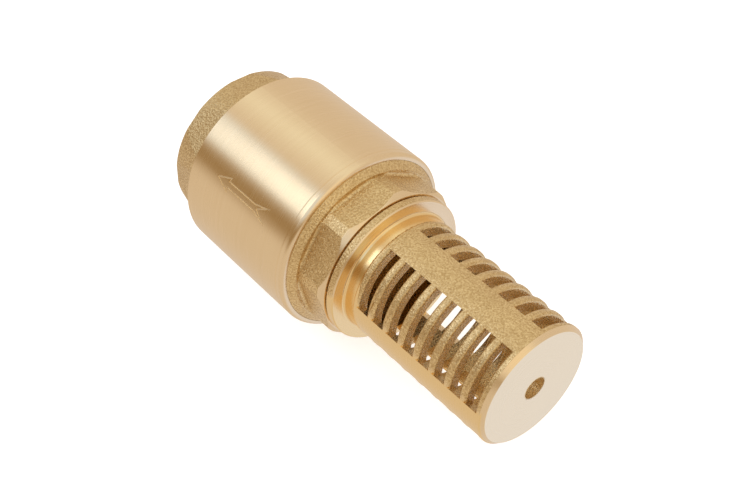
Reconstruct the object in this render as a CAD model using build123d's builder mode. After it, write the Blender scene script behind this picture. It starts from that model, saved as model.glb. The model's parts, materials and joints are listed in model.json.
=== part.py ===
from build123d import *
import os
from math import cos, radians, sin

# Foot valve, 1 inch: a spring check valve with a strainer screwed into its inlet, lying on its side.
# X runs along the valve's axis, from the start of the outlet thread (x = 0) to the strainer's closed
# end. Z is up. Lengths are in millimetres, and every "_x" value is a place along the axis.

# Pipe thread G1, modelled as a plain wall at its crest or root
female_thread_r = 16.62
male_thread_r = 16.5
thread_run = 12.5
mouth_chamfer = 1.5

# Body: octagon for the wrench, turned skirt and rolled rim
body_r = 24.0
outlet_face_x = -mouth_chamfer
outlet_flat_r = 21.4
outlet_corner_turn = 20.0
outlet_round = 8.0
outlet_draft = 6.0
outlet_corner_r = 22.7
outlet_end_r = 20.45
skirt_x = 8.3
scribe_x = 43.9
scribe_width = 0.3
scribe_depth = 0.1
rim_x = 45.0
rim_end_x = 46.2
rim_end_r = 22.85
rim_wall = 0.25
rim_grip_x = 44.2
skirt_edge = 0.3

# Engraved flow arrow: half of its outline as (x from the tip, distance from its centre line)
arrow_tip_x = 17.7
arrow_turn = 56.6
arrow_half = [(0, 0), (4.2, 1.7), (4.0, 0.75), (14.0, 0.75), (17.8, 1.7), (14.9, 0)]
arrow_line = 0.34
arrow_depth = 0.15

# Water way inside the body
throat_r = 13.5
chamber_x = 15.5
chamber_r = 20.4
flange_seat_x = 38.6
flange_bore_r = 22.4

# Inlet connector
flange_r = 22.3
seat_bore_r = 12.5
seat_lip_r = 14.2
seat_lip_x = 37.85
seat_web = 4.4
connector_flat_r = 19.3
connector_corner_r = 20.4
connector_corner_turn = 35.0
connector_round = 3.0
connector_base_x = 47.6
connector_base_r = 20.9
connector_base_fillet = 0.7
connector_face_x = 55.9
connector_face_r = 19.3
connector_chamfer = 1.2

# O-ring in a groove round the connector's flange
groove_x = 40.6
groove_width = 2.6
groove_r = 20.5
o_ring_wire_r = 0.92

# Stem guide, with its bush
guide_ring_r = 20.3
guide_ring_wall = 3.1
guide_ring_width = 3.0
guide_arm_width = 2.6
guide_arms = 4
guide_hub_r = 7.5
guide_back_x = 13.6
spring_pocket_r = 6.6
spring_pocket_x = 16.5
guide_nose_r = 4.85
guide_nose_x = 20.0
bush_wall = 0.9
bush_flange_r = 4.6
bush_flange_width = 0.8

# Poppet, drawn closed
stem_r = 3.0
stem_clearance = 0.05
stem_tip_x = 12.7
stem_boss_r = 4.4
stem_boss_x = 28.0
spring_seat_x = 32.6
spring_seat_r = 7.4
disc_r = 15.8
disc_edge_x = 33.9
seal_pocket_x = 35.6
seal_r = 15.0
seal_width = 2.2
disc_lip_x = 36.6
disc_lip_r = 15.1
screw_r = 2.45
screw_hole_r = 2.6
screw_tip_x = 29.5
screw_head_r = 4.4
screw_head_width = 2.2
screw_slot_width = 1.0
screw_slot_depth = 1.1
retainer_r = 11.6
retainer_width = 1.2

# Spring, drawn at its length with the valve closed
spring_mean_r = 5.6
spring_wire_r = 0.42
spring_turns = 5.5

# Strainer
strainer_back_x = 45.0
strainer_neck_r = 15.6
strainer_collar_r = 18.4
strainer_gap = 0.02
strainer_flange_x = 56.1
strainer_flange_width = 2.3
strainer_flange_r = 19.0
strainer_flange_edge = 0.25
neck_r = 15.5
neck_fillet = 0.7
neck_end_x = 61.6
tube_r = 15.65
tube_bore_r = 12.8
tube_end_x = 103.7
tube_end_wall = 2.5
tube_end_chamfer = 1.0
end_hole_r = 2.85
slot_first_x = 64.75
slot_pitch = 5.0
slot_rows = 8
slot_mouth = 4.5
slot_gap = 2.85
slot_gap_r = 14.85
slot_width = 15.6
rib_turn = 7.0


def turn(points, mode=Mode.ADD):
    """Revolves a closed outline of (x, radius) points about the valve's axis."""
    with BuildSketch(Plane.XZ) as profile:
        with BuildLine():
            Polyline(*points, close=True)
        make_face()
    revolve(profile.sketch, axis=Axis.X, mode=mode)


def cylinder_between(start_x, end_x, radius, mode=Mode.ADD):
    """A cylinder on the valve's axis, or a hole with Mode.SUBTRACT."""
    turn([(start_x, 0), (end_x, 0), (end_x, radius), (start_x, radius)], mode)


def octagon_between(start_x, end_x, flat_r, corner_turn, corner_round, draft=0):
    """An octagonal bar with rounded corners, the first one turned from +Z towards -Y."""
    direction = 1 if end_x > start_x else -1
    plane = Plane(origin=(start_x, 0, 0), x_dir=(0, direction, 0), z_dir=(direction, 0, 0))
    with BuildSketch(plane) as outline:
        RegularPolygon(flat_r, 8, major_radius=False, rotation=direction * corner_turn)
        fillet(outline.vertices(), corner_round)
    extrude(outline.sketch, abs(end_x - start_x), dir=(direction, 0, 0), taper=draft)


def thread_mouth(face_x, inward):
    """The cone that leads into a female thread, cut out of the part."""
    turn(
        [
            (face_x, 0),
            (face_x, female_thread_r + mouth_chamfer),
            (face_x + inward * mouth_chamfer, female_thread_r),
            (face_x + inward * mouth_chamfer, 0),
        ],
        Mode.SUBTRACT,
    )


# Body
with BuildPart() as body:
    octagon_between(
        skirt_x + 1, outlet_face_x, outlet_flat_r, outlet_corner_turn, outlet_round, outlet_draft
    )
    turn(
        [
            (outlet_face_x, 0),
            (outlet_face_x, outlet_end_r),
            (skirt_x + 1, outlet_corner_r),
            (skirt_x + 1, 0),
        ],
        Mode.INTERSECT,
    )
    with BuildSketch(Plane.XZ):
        with BuildLine():
            skirt_top = Polyline(
                (skirt_x, 0),
                (skirt_x, body_r - skirt_edge),
                (skirt_x + skirt_edge, body_r),
                (scribe_x - scribe_width / 2, body_r),
                (scribe_x, body_r - scribe_depth),
                (scribe_x + scribe_width / 2, body_r),
                (rim_x, body_r),
            )
            rim = TangentArc(skirt_top @ 1, (rim_end_x, rim_end_r), tangent=(1, 0))
            Polyline(
                rim @ 1,
                (rim_end_x, rim_end_r - rim_wall),
                (rim_grip_x, flange_bore_r),
                (flange_seat_x, flange_bore_r),
                (flange_seat_x, chamber_r),
                (chamber_x, chamber_r),
                (chamber_x, 0),
                (skirt_x, 0),
            )
        make_face()
    revolve(axis=Axis.X)
    cylinder_between(outlet_face_x, chamber_x, throat_r, Mode.SUBTRACT)
    cylinder_between(outlet_face_x, thread_run, female_thread_r, Mode.SUBTRACT)
    thread_mouth(outlet_face_x, 1)
    outward = Vector(0, -sin(radians(arrow_turn)), cos(radians(arrow_turn)))
    arrow_plane = Plane(origin=outward * (body_r - arrow_depth), x_dir=(1, 0, 0), z_dir=outward)
    with BuildSketch(arrow_plane):
        with BuildLine():
            half = Polyline(*[(arrow_tip_x + along, across) for along, across in arrow_half])
            mirror(half, about=Plane.XZ)
        outline = make_face().face()
        offset(outline, amount=arrow_line / 2, kind=Kind.INTERSECTION)
        offset(outline, amount=-arrow_line / 2, kind=Kind.INTERSECTION, mode=Mode.SUBTRACT)
    extrude(amount=1, mode=Mode.SUBTRACT)
body.part.label = "body"

# Inlet connector
with BuildPart() as inlet_connector:
    octagon_between(
        connector_base_x - 1,
        connector_face_x,
        connector_flat_r,
        connector_corner_turn,
        connector_round,
    )
    turn(
        [
            (connector_base_x - 1, 0),
            (connector_base_x - 1, connector_corner_r),
            (connector_face_x - connector_chamfer, connector_corner_r),
            (connector_face_x, connector_face_r),
            (connector_face_x, 0),
        ],
        Mode.INTERSECT,
    )
    turn(
        [
            (flange_seat_x, 0),
            (flange_seat_x, flange_r),
            (rim_grip_x, flange_r),
            (rim_end_x, rim_end_r - rim_wall - 0.05),
            (connector_base_x, connector_base_r),
            (connector_base_x, 0),
        ]
    )
    base_edges = inlet_connector.edges().filter_by_position(
        Axis.X, connector_base_x, connector_base_x
    )
    fillet(base_edges.filter_by(GeomType.LINE), connector_base_fillet)
    turn(
        [
            (seat_lip_x, seat_bore_r - 1),
            (seat_lip_x, seat_lip_r - 0.5),
            (flange_seat_x, seat_lip_r),
            (flange_seat_x + 1, seat_lip_r),
            (flange_seat_x + 1, seat_bore_r - 1),
        ]
    )
    turn(
        [
            (groove_x, groove_r),
            (groove_x, flange_r + 1),
            (groove_x + groove_width, flange_r + 1),
            (groove_x + groove_width, groove_r),
        ],
        Mode.SUBTRACT,
    )
    cylinder_between(seat_lip_x, connector_face_x, seat_bore_r, Mode.SUBTRACT)
    cylinder_between(
        flange_seat_x + seat_web, connector_face_x, female_thread_r, Mode.SUBTRACT
    )
    thread_mouth(connector_face_x, -1)
inlet_connector.part.label = "inlet_connector"

# O-ring, at rest in the groove against the skirt
with BuildPart() as body_o_ring:
    with BuildSketch(Plane.XZ):
        with Locations((groove_x + groove_width / 2, (groove_r + flange_bore_r) / 2)):
            Circle(o_ring_wire_r)
    revolve(axis=Axis.X)
body_o_ring.part.label = "body_o_ring"

# Stem guide: a ring on the chamber's shoulder, four arms and a hub with a pocket for the spring
bush_r = stem_r + stem_clearance + bush_wall
with BuildPart() as stem_guide:
    turn(
        [
            (chamber_x, guide_ring_r - guide_ring_wall),
            (chamber_x, guide_ring_r),
            (chamber_x + guide_ring_width, guide_ring_r),
            (chamber_x + guide_ring_width, guide_ring_r - guide_ring_wall),
        ]
    )
    arm_inner_r = spring_pocket_r + 0.3
    arm_outer_r = guide_ring_r - guide_ring_wall / 2
    for arm in range(guide_arms):
        with Locations(Rotation(arm * 360 / guide_arms, 0, 0)):
            with Locations((chamber_x + guide_ring_width / 2, 0, (arm_inner_r + arm_outer_r) / 2)):
                Box(guide_ring_width, guide_arm_width, arm_outer_r - arm_inner_r)
    turn(
        [
            (guide_back_x, bush_r),
            (guide_back_x, guide_hub_r - 1.5),
            (guide_back_x + 1.5, guide_hub_r),
            (chamber_x + guide_ring_width, guide_hub_r),
            (chamber_x + guide_ring_width, spring_pocket_r),
            (spring_pocket_x, spring_pocket_r),
            (spring_pocket_x, guide_nose_r),
            (guide_nose_x, guide_nose_r),
            (guide_nose_x, bush_r),
        ]
    )
stem_guide.part.label = "stem_guide"

# Guide bush: a flanged sleeve pressed in from the outlet's side
with BuildPart() as guide_bush:
    bush_bore_r = stem_r + stem_clearance
    turn(
        [
            (guide_back_x - bush_flange_width, bush_bore_r),
            (guide_back_x - bush_flange_width, bush_flange_r),
            (guide_back_x, bush_flange_r),
            (guide_back_x, bush_r),
            (guide_nose_x, bush_r),
            (guide_nose_x, bush_bore_r),
        ]
    )
guide_bush.part.label = "guide_bush"

# Poppet
with BuildPart() as poppet:
    turn(
        [
            (stem_tip_x, 0),
            (stem_tip_x, stem_r - 0.7),
            (stem_tip_x + 0.7, stem_r),
            (stem_boss_x, stem_r),
            (stem_boss_x, stem_boss_r),
            (spring_seat_x, stem_boss_r),
            (spring_seat_x, spring_seat_r),
            (disc_edge_x, disc_r - 1),
            (disc_edge_x + 0.4, disc_r),
            (disc_lip_x, disc_r),
            (disc_lip_x, disc_lip_r),
            (seal_pocket_x, disc_lip_r),
            (seal_pocket_x, 0),
        ]
    )
    cylinder_between(screw_tip_x - 0.8, seal_pocket_x, screw_r + 0.05, Mode.SUBTRACT)
poppet.part.label = "poppet"

# Seat seal, in the poppet's pocket
seal_face_x = seal_pocket_x + seal_width
with BuildPart() as seat_seal:
    cylinder_between(seal_pocket_x, seal_face_x, seal_r)
    cylinder_between(seal_pocket_x, seal_face_x, screw_hole_r, Mode.SUBTRACT)
seat_seal.part.label = "seat_seal"

# Seal retainer
retainer_face_x = seal_face_x + retainer_width
with BuildPart() as seal_retainer:
    turn(
        [
            (seal_face_x, screw_hole_r),
            (seal_face_x, retainer_r),
            (retainer_face_x - 0.5, retainer_r),
            (retainer_face_x, retainer_r - 0.5),
            (retainer_face_x, screw_hole_r),
        ]
    )
seal_retainer.part.label = "seal_retainer"

# Retainer screw, with a driver slot
with BuildPart() as retainer_screw:
    screw_face_x = retainer_face_x + screw_head_width
    cylinder_between(screw_tip_x, retainer_face_x, screw_r)
    turn(
        [
            (retainer_face_x, 0),
            (retainer_face_x, screw_head_r),
            (screw_face_x - 0.7, screw_head_r),
            (screw_face_x, screw_head_r - 0.9),
            (screw_face_x, 0),
        ]
    )
    with Locations((screw_face_x - screw_slot_depth / 2, 0, 0)):
        Box(screw_slot_depth, 2 * screw_head_r, screw_slot_width, mode=Mode.SUBTRACT)
retainer_screw.part.label = "retainer_screw"

# Spring, from the guide's pocket to the poppet's back
spring_start_x = spring_pocket_x + spring_wire_r + 0.02
spring_end_x = spring_seat_x - spring_wire_r - 0.02
spring_length = spring_end_x - spring_start_x
with BuildPart() as spring:
    with BuildLine() as coil:
        Helix(
            pitch=spring_length / spring_turns,
            height=spring_length,
            radius=spring_mean_r,
            center=(spring_start_x, 0, 0),
            direction=(1, 0, 0),
        )
    with BuildSketch(Plane(origin=coil.line @ 0, z_dir=coil.line % 0)):
        Circle(spring_wire_r)
    sweep(is_frenet=True)
spring.part.label = "spring"

# Slots: rings with flared mouths, kept only where the four straight-sided windows are
window_turn = rib_turn + 45
with BuildPart() as slots:
    for row in range(slot_rows):
        row_x = slot_first_x + row * slot_pitch
        with BuildSketch(Plane.XZ) as slot_profile:
            with BuildLine():
                sides = Polyline(
                    (row_x - slot_gap / 2, slot_gap_r),
                    (row_x - slot_gap / 2, tube_bore_r - 1),
                    (row_x + slot_gap / 2, tube_bore_r - 1),
                    (row_x + slot_gap / 2, slot_gap_r),
                )
                right = TangentArc(sides @ 1, (row_x + slot_mouth / 2, tube_r), tangent=(0, 1))
                left = TangentArc(sides @ 0, (row_x - slot_mouth / 2, tube_r), tangent=(0, 1))
                Polyline(
                    right @ 1,
                    (row_x + slot_mouth / 2, tube_r + 1),
                    (row_x - slot_mouth / 2, tube_r + 1),
                    left @ 1,
                )
            make_face()
        revolve(axis=Axis.X)
    windows_x = slot_first_x + (slot_rows - 1) * slot_pitch / 2
    windows_length = slot_rows * slot_pitch
    with BuildSketch(Plane.YZ.offset(windows_x - windows_length / 2)):
        Rectangle(slot_width, 3 * tube_r, rotation=window_turn)
        Rectangle(3 * tube_r, slot_width, rotation=window_turn)
    extrude(amount=windows_length, mode=Mode.INTERSECT)

# Strainer
with BuildPart() as strainer:
    strainer_face_x = strainer_flange_x + strainer_flange_width
    with BuildSketch(Plane.XZ):
        with BuildLine():
            mouth_x = connector_face_x - mouth_chamfer
            back_x = connector_face_x + strainer_gap
            flange_side = Polyline(
                (tube_end_x - tube_end_wall, tube_bore_r),
                (strainer_back_x, tube_bore_r),
                (strainer_back_x, male_thread_r - 1),
                (strainer_back_x + 1, male_thread_r),
                (mouth_x - 1, male_thread_r),
                (mouth_x, strainer_neck_r),
                (back_x, strainer_neck_r),
                (back_x, strainer_collar_r),
                (strainer_flange_x, strainer_collar_r),
                (strainer_flange_x, strainer_flange_r - strainer_flange_edge),
                (strainer_flange_x + strainer_flange_edge, strainer_flange_r),
                (strainer_face_x - strainer_flange_edge, strainer_flange_r),
                (strainer_face_x, strainer_flange_r - strainer_flange_edge),
                (strainer_face_x, neck_r + neck_fillet),
            )
            root = TangentArc(
                (strainer_face_x + neck_fillet, neck_r), flange_side @ 1, tangent=(-1, 0)
            )
            Polyline(
                root @ 0,
                (neck_end_x, neck_r),
                (neck_end_x + 0.3, tube_r),
                (tube_end_x - tube_end_chamfer, tube_r),
                (tube_end_x, tube_r - tube_end_chamfer),
                (tube_end_x, end_hole_r),
                (tube_end_x - tube_end_wall, end_hole_r),
                flange_side @ 0,
            )
        make_face()
    revolve(axis=Axis.X)
    add(slots.part, mode=Mode.SUBTRACT)
strainer.part.label = "strainer"

pieces = [
    body,
    inlet_connector,
    body_o_ring,
    stem_guide,
    guide_bush,
    poppet,
    seat_seal,
    seal_retainer,
    retainer_screw,
    spring,
    strainer,
]
os.makedirs("parts", exist_ok=True)
for piece in pieces:
    export_step(piece.part, f"parts/{piece.part.label}.step")
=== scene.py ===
import json
from math import cos, radians, sin, tau

import bpy
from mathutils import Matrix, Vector


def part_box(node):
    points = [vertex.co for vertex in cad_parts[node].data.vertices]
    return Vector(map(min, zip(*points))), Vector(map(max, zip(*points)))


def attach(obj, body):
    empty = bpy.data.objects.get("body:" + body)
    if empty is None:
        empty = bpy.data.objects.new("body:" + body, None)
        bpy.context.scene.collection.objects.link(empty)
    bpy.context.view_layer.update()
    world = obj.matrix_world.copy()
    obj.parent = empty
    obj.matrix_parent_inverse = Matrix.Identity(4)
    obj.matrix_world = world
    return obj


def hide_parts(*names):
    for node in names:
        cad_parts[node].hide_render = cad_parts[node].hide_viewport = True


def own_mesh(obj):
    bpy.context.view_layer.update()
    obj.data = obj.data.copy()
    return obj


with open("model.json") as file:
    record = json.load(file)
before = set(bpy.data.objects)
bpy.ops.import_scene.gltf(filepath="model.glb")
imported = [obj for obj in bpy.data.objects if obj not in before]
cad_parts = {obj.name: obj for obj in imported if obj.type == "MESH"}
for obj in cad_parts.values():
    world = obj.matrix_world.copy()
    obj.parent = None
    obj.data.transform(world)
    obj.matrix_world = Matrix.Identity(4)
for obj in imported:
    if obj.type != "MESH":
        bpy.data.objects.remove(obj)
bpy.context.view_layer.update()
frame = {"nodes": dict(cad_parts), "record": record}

MM = 0.001

# Read off the frame, in metres. The valve's axis is X.
BODY_LOW, BODY_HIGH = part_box("body")
SPRING_LOW, SPRING_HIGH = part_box("spring")

# Read off the frame, in millimetres, which is what the materials work in.
BODY_RADIUS = BODY_HIGH[2] / MM
CONNECTOR_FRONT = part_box("inlet_connector")[1][0] / MM
STRAINER_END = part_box("strainer")[1][0] / MM

# Edges between finishes that no node's box gives, in millimetres as in the CAD.
SKIRT_START, FLANGE_FRONT, NECK_END = 8.3, 58.4, 61.65
ARROW_START, ARROW_END = 16.5, 37.0
CONNECTOR_FACE_R = 19.3
END_HOLE_R = 3.0

# Camera, at the photograph's angle.
CAMERA_AZIMUTH = 49.96
CAMERA_ELEVATION = 45.08
CAMERA_DISTANCE = 0.3059
CAMERA_AIM = (0.05004, 0.00068, 0.0)
CAMERA_LENS = 62.4


def towards_camera():
    """The unit direction from the object to the camera."""
    turn, tilt = radians(CAMERA_AZIMUTH), radians(CAMERA_ELEVATION)
    return Vector((sin(turn) * cos(tilt), -cos(turn) * cos(tilt), sin(tilt)))


# Pipe thread G1 in the outlet.
THREAD_MAJOR_R = frame["record"]["mounts"][0]["dims"]["r_mm"] * MM
THREAD_PITCH = 2.309 * MM
THREAD_DEPTH = 1.45 * MM
THREAD_LENGTH = frame["record"]["mounts"][0]["dims"]["length_mm"] * MM


# ---------------------------------------------------------------- node helpers

class Nodes:
    """A node tree under construction, with short calls for the nodes it needs."""

    def __init__(self, tree):
        self.tree = tree

    def node(self, kind, inputs=(), **settings):
        """Adds a node. Inputs are (socket, value or link) pairs."""
        made = self.tree.nodes.new(kind)
        for key, value in settings.items():
            setattr(made, key, value)
        for key, value in dict(inputs).items():
            if isinstance(value, bpy.types.NodeSocket):
                self.tree.links.new(value, made.inputs[key])
            else:
                made.inputs[key].default_value = value
        return made

    def math(self, operation, *values):
        return self.node("ShaderNodeMath", list(enumerate(values)), operation=operation).outputs[0]

    def place(self):
        """The surface point in millimetres: (vector, x, distance from the axis, turn about it)."""
        point = self.node("ShaderNodeTexCoord").outputs["Object"]
        scaled = self.node(
            "ShaderNodeVectorMath", {0: point, "Scale": 1 / MM}, operation="SCALE"
        ).outputs[0]
        parts = self.node("ShaderNodeSeparateXYZ", {0: scaled}).outputs
        across = self.math("SQRT", self.math("ADD", self.math("MULTIPLY", parts[1], parts[1]),
                                             self.math("MULTIPLY", parts[2], parts[2])))
        turn = self.math("ARCTAN2", self.math("MULTIPLY", parts[1], -1.0), parts[2])
        return scaled, parts[0], across, turn

    def noise(self, vector, scale, detail=3.0, roughness=0.55):
        made = self.node(
            "ShaderNodeTexNoise",
            {"Vector": vector, "Scale": scale, "Detail": detail, "Roughness": roughness},
        )
        return made.outputs["Fac"]

    def remap(self, value, low, high, to_low=0.0, to_high=1.0):
        made = self.node(
            "ShaderNodeMapRange",
            {"Value": value, "From Min": low, "From Max": high, "To Min": to_low, "To Max": to_high},
        )
        return made.outputs[0]

    def between(self, value, low, high, soft):
        """1 inside low..high and 0 outside, with a soft step."""
        rise = self.remap(value, low - soft, low + soft)
        fall = self.remap(value, high - soft, high + soft, 1.0, 0.0)
        return self.math("MULTIPLY", rise, fall)

    def mix(self, factor, first, second):
        """A blend of two colours."""
        made = self.node("ShaderNodeMix", data_type="RGBA")
        for socket, value in ((0, factor), (6, first), (7, second)):
            if isinstance(value, bpy.types.NodeSocket):
                self.tree.links.new(value, made.inputs[socket])
            else:
                made.inputs[socket].default_value = value
        return made.outputs[2]

    def blend(self, factor, first, second):
        """A blend of two numbers."""
        made = self.node("ShaderNodeMix", {0: factor, 2: first, 3: second}, data_type="FLOAT")
        return made.outputs[0]

    def bump(self, height, distance, strength):
        inputs = {"Height": height, "Distance": distance, "Strength": strength}
        return self.node("ShaderNodeBump", inputs).outputs[0]


class Shader(Nodes):
    """A material under construction."""

    def __init__(self, name):
        self.material = bpy.data.materials.new(name)
        self.material.use_nodes = True
        super().__init__(self.material.node_tree)

    def set(self, **sockets):
        """Values or links for the Principled shader, by socket name with _ for a space."""
        principled = self.tree.nodes["Principled BSDF"]
        for key, value in sockets.items():
            socket = principled.inputs[key.replace("_", " ")]
            if isinstance(value, bpy.types.NodeSocket):
                self.tree.links.new(value, socket)
            else:
                socket.default_value = value


def grey(value):
    return (value, value, value, 1.0)


# ------------------------------------------------------------------- materials

BRASS_BRIGHT = (0.90, 0.70, 0.43, 1.0)
BRASS_WORN = (0.84, 0.63, 0.36, 1.0)
BRASS_CAST = (0.78, 0.54, 0.24, 1.0)
BRASS_CAST_DARK = (0.40, 0.24, 0.08, 1.0)
# The light end of the cast grain; also the painted bounce light inside the strainer's slots and bore.
BRASS_CAST_LIGHT = (1.0, 0.78, 0.42, 1.0)
BRASS_POLISHED = (0.93, 0.68, 0.33, 1.0)
BRASS_FACED = (0.96, 0.81, 0.53, 1.0)
BRASS_ENGRAVED = (1.0, 0.84, 0.56, 1.0)

# The relief of the brass surfaces: the bump's distance and strength, and how shallow turning is in it.
RELIEF = (0.24 * MM, 0.75)
TURNED_DEPTH = 0.03
TURNING_LINES = 9.0
CAST_METALLIC = 0.84


def cast_layers(s, vector):
    """Colour, roughness and height of shot-blasted brass."""
    grain = s.noise(vector, 2.3, 2.0, 0.6)
    pits = s.noise(vector, 1.1, 3.0, 0.6)
    stains = s.noise(vector, 0.16, 3.0, 0.55)
    tone = s.mix(s.remap(grain, 0.36, 0.66), BRASS_CAST_DARK, BRASS_CAST_LIGHT)
    tone = s.mix(0.5, tone, BRASS_CAST)
    tone = s.mix(s.remap(stains, 0.35, 0.75, 0.0, 0.22), tone, BRASS_CAST_DARK)
    roughness = s.remap(grain, 0.3, 0.7, 0.34, 0.2)
    height = s.math("ADD", s.math("MULTIPLY", grain, 0.9), s.math("MULTIPLY", pits, 0.4))
    return tone, roughness, height


def turned_layers(s, vector, x, across, turn):
    """Colour, roughness and height of lathe-turned brass, with its marks running round the axis."""
    rings = s.node("ShaderNodeCombineXYZ", {0: x, 1: across, 2: s.math("MULTIPLY", turn, 0.08)})
    fine = s.noise(rings.outputs[0], TURNING_LINES, 2.0, 0.7)
    broad = s.noise(rings.outputs[0], TURNING_LINES / 9, 3.0, 0.6)
    clouds = s.noise(vector, 0.09, 3.0, 0.5)
    tone = s.mix(s.remap(broad, 0.35, 0.7, 0.0, 0.35), BRASS_BRIGHT, BRASS_WORN)
    tone = s.mix(s.remap(clouds, 0.4, 0.7, 0.0, 0.25), tone, BRASS_WORN)
    roughness = s.remap(fine, 0.3, 0.7, 0.22, 0.28)
    return tone, roughness, fine


def along_the_marks(s):
    """The direction round the axis, in which turned brass mirrors most sharply."""
    return s.node("ShaderNodeTangent", direction_type="RADIAL", axis="X").outputs[0]


def material_turned(name):
    """Plain turned brass for the inner pieces."""
    s = Shader(name)
    vector, x, across, turn = s.place()
    tone, roughness, height = turned_layers(s, vector, x, across, turn)
    s.set(Metallic=1.0, Base_Color=tone, Roughness=roughness,
          Normal=s.bump(height, 0.02 * MM, 0.5))
    return s.material


def material_body():
    """The body: cast octagon, satin-turned skirt, matt engraved arrow and turned bores."""
    s = Shader("body_brass")
    vector, x, across, turn = s.place()
    cast_tone, cast_rough, cast_height = cast_layers(s, vector)
    tone, roughness, height = turned_layers(s, vector, x, across, turn)
    octagon = s.math("MULTIPLY", s.remap(x, SKIRT_START - 0.1, SKIRT_START, 1.0, 0.0),
                     s.remap(across, 18.2, 18.6))
    engraved = s.math("MULTIPLY", s.between(across, 22.0, BODY_RADIUS - 0.06, 0.02),
                      s.between(x, ARROW_START, ARROW_END, 0.5))
    cast_tone = s.mix(0.12, cast_tone, BRASS_CAST_DARK)
    tone = s.mix(s.math("MULTIPLY", engraved, 0.8), tone, BRASS_ENGRAVED)
    roughness = s.blend(engraved, roughness, 0.5)
    s.set(
        Metallic=s.blend(octagon, 1.0, CAST_METALLIC),
        Base_Color=s.mix(octagon, tone, cast_tone),
        Roughness=s.blend(octagon, roughness, cast_rough),
        Anisotropic=0.7,
        Anisotropic_Rotation=0.25,
        Tangent=along_the_marks(s),
        Normal=s.bump(s.blend(octagon, s.math("MULTIPLY", height, TURNED_DEPTH), cast_height), *RELIEF),
    )
    return s.material


def material_connector():
    """The connector: cast all over, with a turned front edge and turned bores."""
    s = Shader("connector_brass")
    vector, x, across, turn = s.place()
    cast_tone, cast_rough, cast_height = cast_layers(s, vector)
    tone, roughness, height = turned_layers(s, vector, x, across, turn)
    front = CONNECTOR_FRONT
    chamfer = s.math("ADD", s.math("SUBTRACT", x, front), s.math("SUBTRACT", across, CONNECTOR_FACE_R))
    turned = s.math("MAXIMUM", s.remap(x, front - 0.12, front - 0.05), s.remap(across, 17.4, 17.2))
    turned = s.math("MAXIMUM", turned, s.math("MULTIPLY", s.remap(chamfer, -0.22, -0.12),
                                             s.remap(x, front - 1.4, front - 1.25)))
    s.set(
        Metallic=s.blend(turned, CAST_METALLIC, 1.0),
        Base_Color=s.mix(turned, cast_tone, tone),
        Roughness=s.blend(turned, cast_rough, roughness),
        Normal=s.bump(s.blend(turned, cast_height, s.math("MULTIPLY", height, TURNED_DEPTH)), *RELIEF),
    )
    return s.material


def material_strainer():
    """The strainer: cast tube and slots, lighter and smoother on its lower side, with a turned flange,
    root and end.
    """
    s = Shader("strainer_brass")
    vector, x, across, turn = s.place()
    cast_tone, cast_rough, cast_height = cast_layers(s, vector)
    tone, roughness, height = turned_layers(s, vector, x, across, turn)
    end = STRAINER_END
    # Painted bounce light: the slot flanks and the bore, inside 15.4 mm from the axis, are lightened
    # towards BRASS_CAST_LIGHT.
    cast_tone = s.mix(s.remap(across, 15.1, 15.4, 0.4, 0.0), cast_tone, BRASS_CAST_LIGHT)
    ragged = s.remap(s.noise(vector, 1.2, 3.0), 0.3, 0.7, -1.0, 1.0)
    low_side = s.math("COSINE", s.math("SUBTRACT", turn, radians(155)))
    reach = s.math("MAXIMUM", s.math("MULTIPLY", s.math("ADD", low_side, 0.35), 2.4), 0.0)
    reach = s.math("ADD", reach, s.math("MULTIPLY", ragged, 0.12))
    root = s.between(s.math("SUBTRACT", x, reach), FLANGE_FRONT - 4.0, NECK_END, 0.08)
    root = s.math("MULTIPLY", root, s.remap(x, FLANGE_FRONT, FLANGE_FRONT + 0.04))
    face = s.math("MULTIPLY", s.between(x, FLANGE_FRONT - 0.3, FLANGE_FRONT + 0.1, 0.03),
                  s.remap(across, 16.0, 16.2))
    # The lower side, round 155 degrees, takes the polished colour and the turned finish.
    smooth_low_side = s.math("MULTIPLY", s.remap(s.math("ADD", low_side, s.math("MULTIPLY", ragged, 0.03)),
                                         0.2, 0.28),
                     s.remap(across, 15.2, 15.4))
    round_hole = s.remap(across, END_HOLE_R - 0.05, END_HOLE_R + 0.05)
    tip = s.math("MULTIPLY", s.remap(x, end - 1.05, end - 1.0), round_hole)
    faced = s.math("MULTIPLY", s.remap(x, end - 0.04, end - 0.01), round_hole)
    machined = s.math("MAXIMUM", s.math("MAXIMUM", root, face), s.math("MAXIMUM", tip, smooth_low_side))
    tone = s.mix(s.math("MAXIMUM", root, smooth_low_side), tone, BRASS_POLISHED)
    tone = s.mix(s.math("MULTIPLY", faced, 0.85), tone, BRASS_FACED)
    roughness = s.blend(root, roughness, 0.2)
    s.set(
        Metallic=s.blend(machined, CAST_METALLIC, 1.0),
        Base_Color=s.mix(machined, cast_tone, tone),
        Roughness=s.blend(machined, cast_rough, roughness),
        Normal=s.bump(s.blend(machined, cast_height, s.math("MULTIPLY", height, TURNED_DEPTH)), *RELIEF),
    )
    return s.material


def material_steel():
    s = Shader("stainless_steel")
    vector = s.place()[0]
    drawn = s.noise(vector, 3.0, 3.0, 0.6)
    tone = s.mix(s.remap(drawn, 0.35, 0.7), grey(0.62), grey(0.5))
    s.set(Metallic=1.0, Base_Color=tone, Roughness=s.remap(drawn, 0.3, 0.7, 0.22, 0.38),
          Normal=s.bump(drawn, 0.02 * MM, 0.4))
    return s.material


def material_nitrile():
    s = Shader("nitrile_rubber")
    vector = s.place()[0]
    skin = s.noise(vector, 1.8, 4.0, 0.6)
    tone = s.mix(s.remap(skin, 0.35, 0.7), grey(0.022), grey(0.05))
    s.set(Base_Color=tone, Roughness=s.remap(skin, 0.3, 0.7, 0.5, 0.68),
          Normal=s.bump(skin, 0.05 * MM, 0.5))
    return s.material


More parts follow.
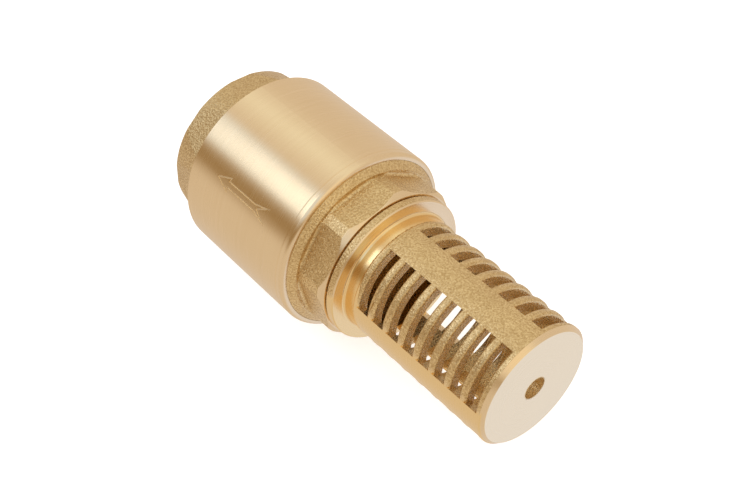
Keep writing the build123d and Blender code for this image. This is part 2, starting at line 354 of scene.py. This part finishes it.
def material_acetal():
    s = Shader("acetal_plastic")
    x, across = s.place()[1:3]
    rings = s.node("ShaderNodeCombineXYZ", {0: x, 1: across, 2: 0.0}).outputs[0]
    marks = s.noise(rings, 5.0, 2.0, 0.6)
    tone = s.mix(s.remap(marks, 0.35, 0.7), (0.84, 0.83, 0.79, 1.0), (0.76, 0.75, 0.7, 1.0))
    s.set(Base_Color=tone, Roughness=s.remap(marks, 0.3, 0.7, 0.36, 0.5),
          Normal=s.bump(marks, 0.02 * MM, 0.4))
    return s.material


def paint(target, material):
    """Puts one material in the only slot of a CAD node or a piece."""
    target.data.materials.clear()
    target.data.materials.append(material)


# ---------------------------------------------------------------------- pieces

def mesh_piece(name, points, faces, material, smooth=True):
    mesh = bpy.data.meshes.new(name)
    mesh.from_pydata(points, [], faces)
    mesh.validate()
    mesh.update()
    piece = bpy.data.objects.new(name, mesh)
    bpy.context.scene.collection.objects.link(piece)
    for polygon in mesh.polygons:
        polygon.use_smooth = smooth
    paint(piece, material)
    return piece


def swept_faces(rows, ring):
    """Quads that join the rings of a sweep, with its two ends closed."""
    faces = []
    for row in range(rows - 1):
        for side in range(ring):
            after = (side + 1) % ring
            a, b = row * ring + side, row * ring + after
            faces.append((a, b, b + ring, a + ring))
    faces.append(tuple(range(ring))[::-1])
    faces.append(tuple((rows - 1) * ring + side for side in range(ring)))
    return faces


def outlet_thread(material):
    """The crests of the outlet's G1 thread, as one helical ridge on the bore's wall."""
    steps_per_turn = 96
    root_half, crest_half, rooted = 0.47 * THREAD_PITCH, 0.09 * THREAD_PITCH, 0.05 * MM
    turns = (THREAD_LENGTH - 0.9 * MM) / THREAD_PITCH
    steps = int(turns * steps_per_turn)
    fade = steps_per_turn * 0.4
    points = []
    for step in range(steps + 1):
        angle = tau * step / steps_per_turn
        centre = 0.1 * MM + THREAD_PITCH * step / steps_per_turn
        height = THREAD_DEPTH * min(1.0, (step + 1) / fade, (steps - step + 1) / fade)
        profile = [(-root_half, -rooted), (-crest_half, height), (crest_half, height),
                   (root_half, -rooted)]
        for along, inward in profile:
            radius = THREAD_MAJOR_R - inward
            points.append((centre + along, radius * cos(angle), radius * sin(angle)))
    return mesh_piece("outlet_thread", points, swept_faces(steps + 1, 4), material, smooth=False)


def spring_coil(material):
    """The closing spring, with closed end turns and an open middle."""
    wire_r, mean_r = 0.42 * MM, 5.6 * MM
    start, end = SPRING_LOW[0] + wire_r, SPRING_HIGH[0] - wire_r
    turns, closed, around, per_turn = 6.5, 1.0, 14, 40
    closed_pitch = 2 * wire_r * 1.03
    open_pitch = (end - start - 2 * closed * closed_pitch) / (turns - 2 * closed)
    count = int(turns * per_turn)
    points = []
    x = start
    for step in range(count + 1):
        turned = step / per_turn
        near_end = min(turned, turns - turned)
        share = min(1.0, max(0.0, (near_end - closed + 0.15) / 0.3))
        pitch = closed_pitch + (open_pitch - closed_pitch) * share
        angle = tau * turned
        outward = Vector((0, cos(angle), sin(angle)))
        for side in range(around):
            about = tau * side / around
            spot = outward * (mean_r + wire_r * cos(about)) + Vector((wire_r * sin(about), 0, 0))
            points.append((x + spot.x, spot.y, spot.z))
        x += pitch / per_turn
    stretch = (end - start) / (x - pitch / per_turn - start)
    points = [(start + (p[0] - start) * stretch, p[1], p[2]) for p in points]
    return mesh_piece("spring_coil", points, swept_faces(count + 1, around), material)


# ----------------------------------------------------------------------- stage

def build_floor():
    size, drop = 3.0, BODY_LOW[2]
    points = [(-size, -size, drop), (size, -size, drop), (size, size, drop), (-size, size, drop)]
    s = Shader("pale_floor")
    vector = s.place()[0]
    speckle = s.noise(vector, 0.02, 2.0)
    s.set(Base_Color=s.mix(speckle, grey(0.9), grey(0.88)), Roughness=0.9,
          Emission_Color=grey(1.0), Emission_Strength=0.62)
    floor = mesh_piece("floor", points, [(0, 1, 2, 3)], s.material, smooth=False)
    floor.visible_glossy = False


# The studio is one warm fill with three long panels beside the valve's axis. Each panel is
# (first edge, last edge, softness, colour), in degrees turned from +Z towards -Y.
FILL = (0.75, 0.67, 0.6)
OVERHEAD_BOX = (-30, 0, 15, (0.95, 0.95, 0.9))
COOL_BOX = (20, 60, 5, (0.8, 0.9, 1.1))
DARK_FLAG = (60, 88, 8, (0.35, 0.24, 0.12))


def build_studio():
    """The fill and panels, a pale card that the strainer's end mirrors, and a window beyond it."""
    world = bpy.data.worlds.new("studio")
    bpy.context.scene.world = world
    world.use_nodes = True
    s = Nodes(world.node_tree)
    direction = s.node("ShaderNodeTexCoord").outputs["Generated"]
    parts = s.node("ShaderNodeSeparateXYZ", {0: direction}).outputs
    turn = s.math("ARCTAN2", s.math("MULTIPLY", parts[1], -1.0), parts[2])
    light = (*FILL, 1.0)
    for first, last, softness, colour in (OVERHEAD_BOX, COOL_BOX, DARK_FLAG):
        panel = s.between(turn, radians(first), radians(last), radians(softness))
        light = s.mix(panel, light, (*colour, 1.0))
    seen_from = towards_camera()
    mirrored = (seen_from.x, -seen_from.y, -seen_from.z)
    card = s.node("ShaderNodeVectorMath", {0: direction, 1: mirrored},
                  operation="DOT_PRODUCT").outputs["Value"]
    ends = s.remap(card, 0.7, 0.9)
    window = s.node("ShaderNodeVectorMath", {0: direction, 1: (0.92, -0.06, 0.39)},
                    operation="DOT_PRODUCT").outputs["Value"]
    light = s.mix(ends, light, (0.84, 0.86, 1.02, 1.0))
    light = s.mix(s.remap(window, 0.88, 0.98), light, (1.0, 0.88, 0.7, 1.0))
    seen = s.node("ShaderNodeLightPath").outputs["Is Camera Ray"]
    light = s.mix(seen, light, grey(1.0))
    background = s.tree.nodes["Background"]
    s.tree.links.new(light, background.inputs["Color"])


def build_key_light():
    lamp = bpy.data.lights.new("key", "AREA")
    lamp.shape = "DISK"
    lamp.size = 0.36
    lamp.energy = 0.33
    lamp.color = (0.92, 0.93, 1.0)
    key = bpy.data.objects.new("key", lamp)
    key.location = (-0.25, -0.42, 0.5)
    key.rotation_euler = (Vector(CAMERA_AIM) - key.location).to_track_quat("-Z", "Y").to_euler()
    bpy.context.scene.collection.objects.link(key)


def build_camera():
    data = bpy.data.cameras.new("camera")
    data.lens = CAMERA_LENS
    data.clip_start = 0.01
    camera = bpy.data.objects.new("camera", data)
    camera.location = Vector(CAMERA_AIM) + towards_camera() * CAMERA_DISTANCE
    camera.rotation_euler = towards_camera().to_track_quat("Z", "Y").to_euler()
    bpy.context.scene.collection.objects.link(camera)
    bpy.context.scene.camera = camera


# -------------------------------------------------------------------- assembly

inner_brass = material_turned("turned_brass")
steel, nitrile, acetal = material_steel(), material_nitrile(), material_acetal()
finishes = {
    "body": material_body(),
    "inlet_connector": material_connector(),
    "strainer": material_strainer(),
    "stem_guide": inner_brass,
    "poppet": inner_brass,
    "seal_retainer": inner_brass,
    "retainer_screw": steel,
    "spring": steel,
    "guide_bush": acetal,
    "seat_seal": nitrile,
    "body_o_ring": nitrile,
}
for node, finish in finishes.items():
    paint(frame["nodes"][node], finish)

thread = outlet_thread(inner_brass)
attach(thread, "housing")

coil = spring_coil(steel)
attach(coil, "housing")
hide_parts("spring")
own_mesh(coil)

build_floor()
build_studio()
build_key_light()
build_camera()
bpy.context.scene.view_settings.view_transform = "Standard"
